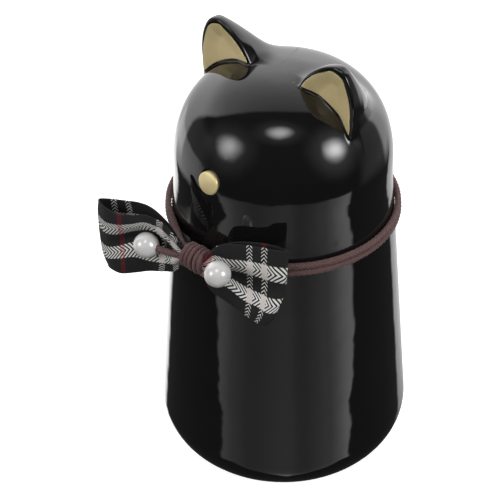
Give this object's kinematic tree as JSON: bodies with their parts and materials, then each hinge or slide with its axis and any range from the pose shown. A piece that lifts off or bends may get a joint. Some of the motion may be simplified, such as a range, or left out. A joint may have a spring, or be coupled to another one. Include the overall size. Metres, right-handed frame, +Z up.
{
  "type": "cat figurine",
  "caption": "Glazed ceramic cat with a bullet-shaped body, gold-lined ears and nose, and a plaid bow with pearls on an elastic neck cord.",
  "frame": {"origin": "centre of the round foot, on the surface that the cat stands on", "axes": "+Z up through the head, -Y the way the face looks, +X the cat's own left"},
  "size_m": [0.0862, 0.0934, 0.1527],
  "materials": {
    "black_glaze": "gloss",
    "gold_lustre": "satin",
    "stopper_rubber": "matt",
    "elastic_cord": "braided",
    "plaid_ribbon": "woven plaid",
    "pearl": "pearl lustre"
  },
  "bodies": {
    "cat": {"ceramic_body": "black_glaze", "left_ear_gilding": "gold_lustre", "right_ear_gilding": "gold_lustre", "nose": "gold_lustre"},
    "collar": {"neck_cord_upper": "elastic_cord", "neck_cord_lower": "elastic_cord", "bow_wrapping": "elastic_cord", "bow_ribbon": "plaid_ribbon", "left_cord_tail": "elastic_cord", "right_cord_tail": "elastic_cord", "left_pearl": "pearl", "right_pearl": "pearl"},
    "stopper": {"stopper": "stopper_rubber"}
  },
  "joints": [
    {"name": "collar_turn", "type": "hinge", "parent": "cat", "child": "collar", "pos_m": [0, 0, 0.0944], "axis": [0, 0, 1], "continuous": true},
    {"name": "stopper_pull", "type": "slide", "parent": "cat", "child": "stopper", "axis": [0, 0, -1], "range_m": [0, 0.025]}
  ]
}
